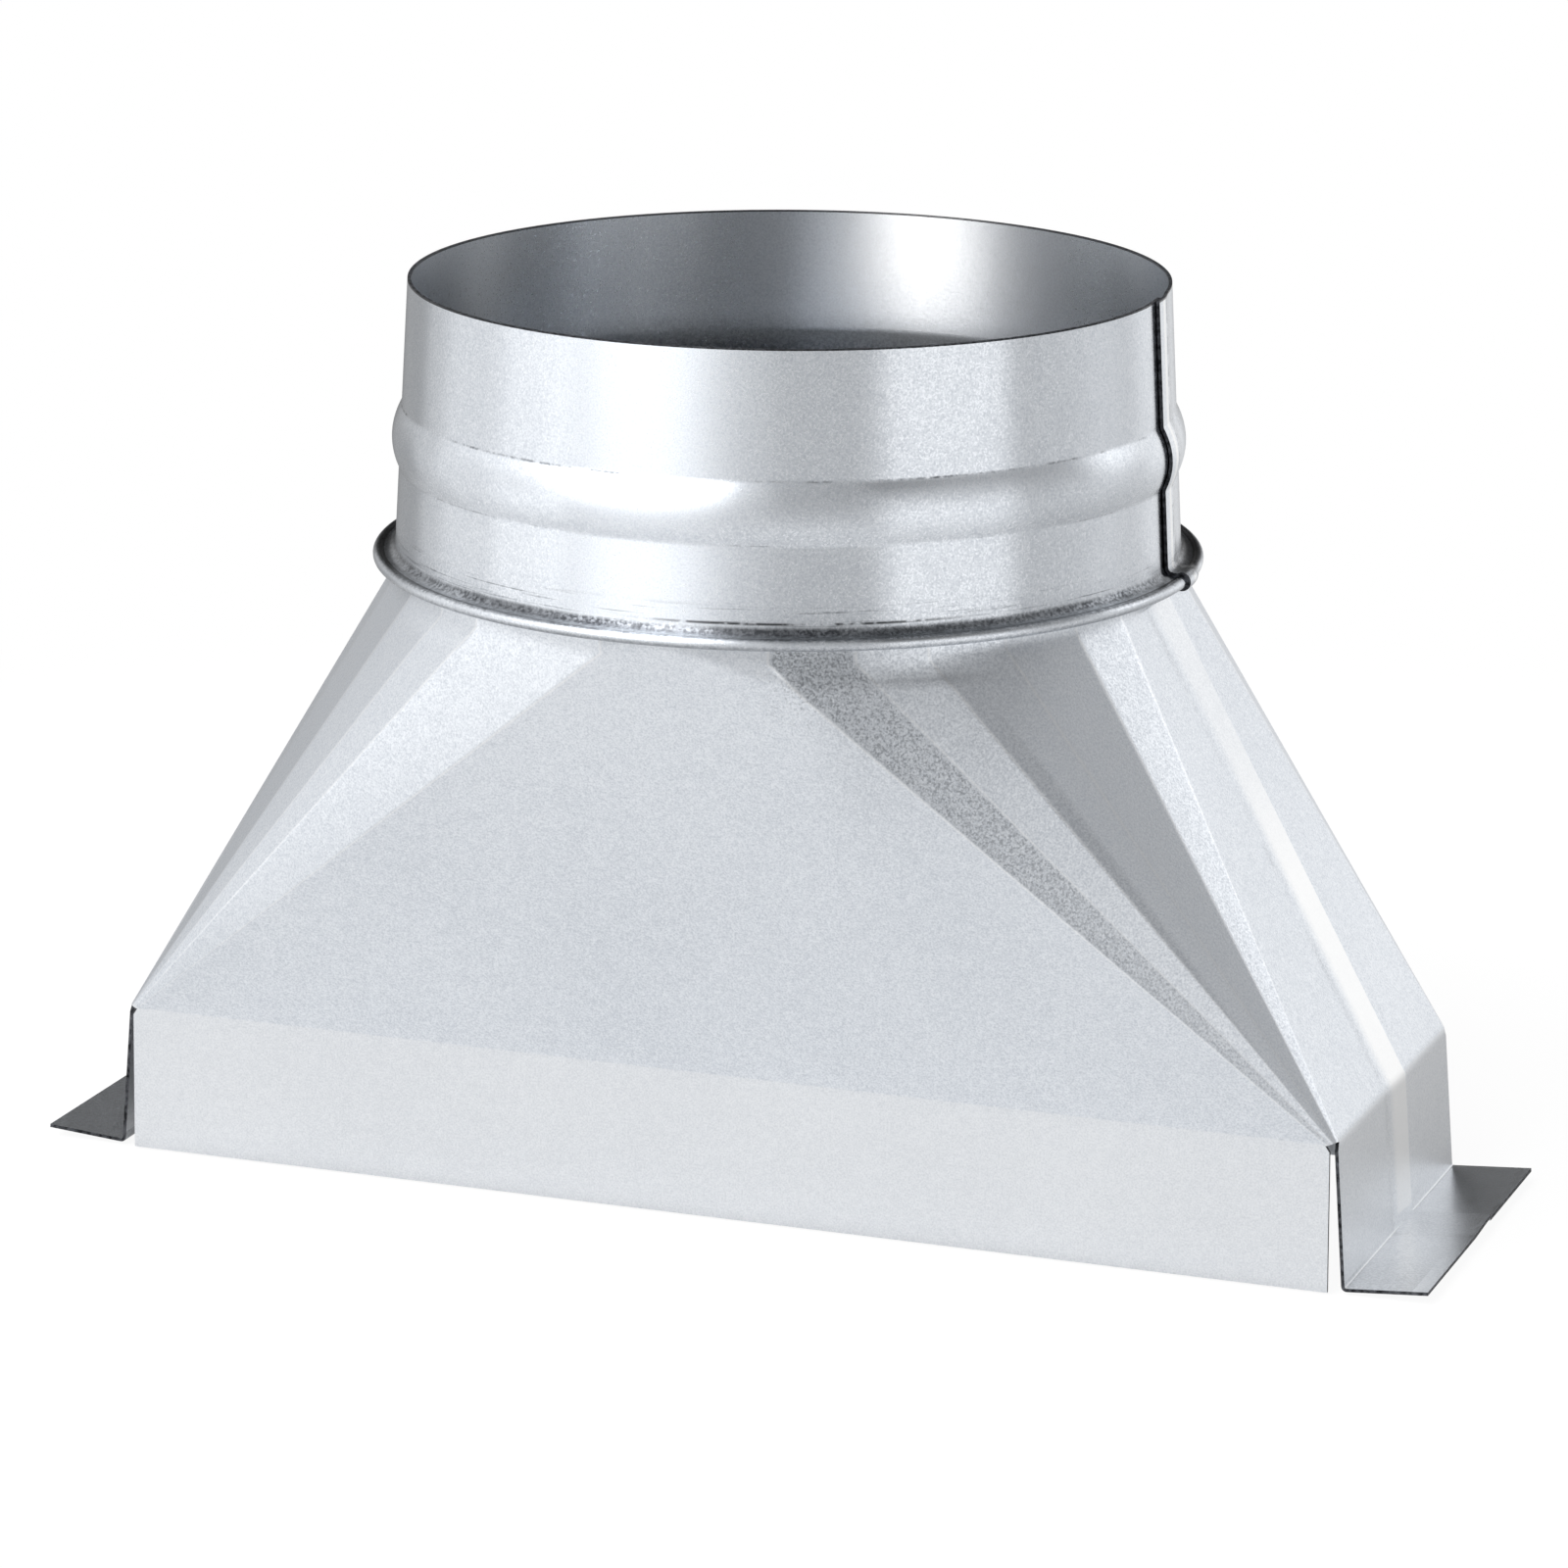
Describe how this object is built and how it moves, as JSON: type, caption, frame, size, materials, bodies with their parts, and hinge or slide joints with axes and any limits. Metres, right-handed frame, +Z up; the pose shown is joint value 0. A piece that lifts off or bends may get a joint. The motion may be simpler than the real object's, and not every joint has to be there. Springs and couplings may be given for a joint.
{
  "type": "register boot",
  "caption": "Galvanised sheet register boot: a rectangular mouth with nailing flanges, folded up into a beaded round collar for duct.",
  "frame": {"origin": "centre of the mouth, on the floor plane that the bends of the two nailing flanges touch, under the collar's axis", "axes": "+X along the mouth's long side towards the end with the seams, +Y to the back, +Z up along the collar's axis"},
  "size_m": [0.293, 0.1656, 0.1832],
  "materials": {
    "galvanised_sheet": "fine-spangled galvanised sheet, satin"
  },
  "bodies": {
    "root": {"transition_body": "galvanised_sheet", "collar": "galvanised_sheet"}
  },
  "joints": []
}
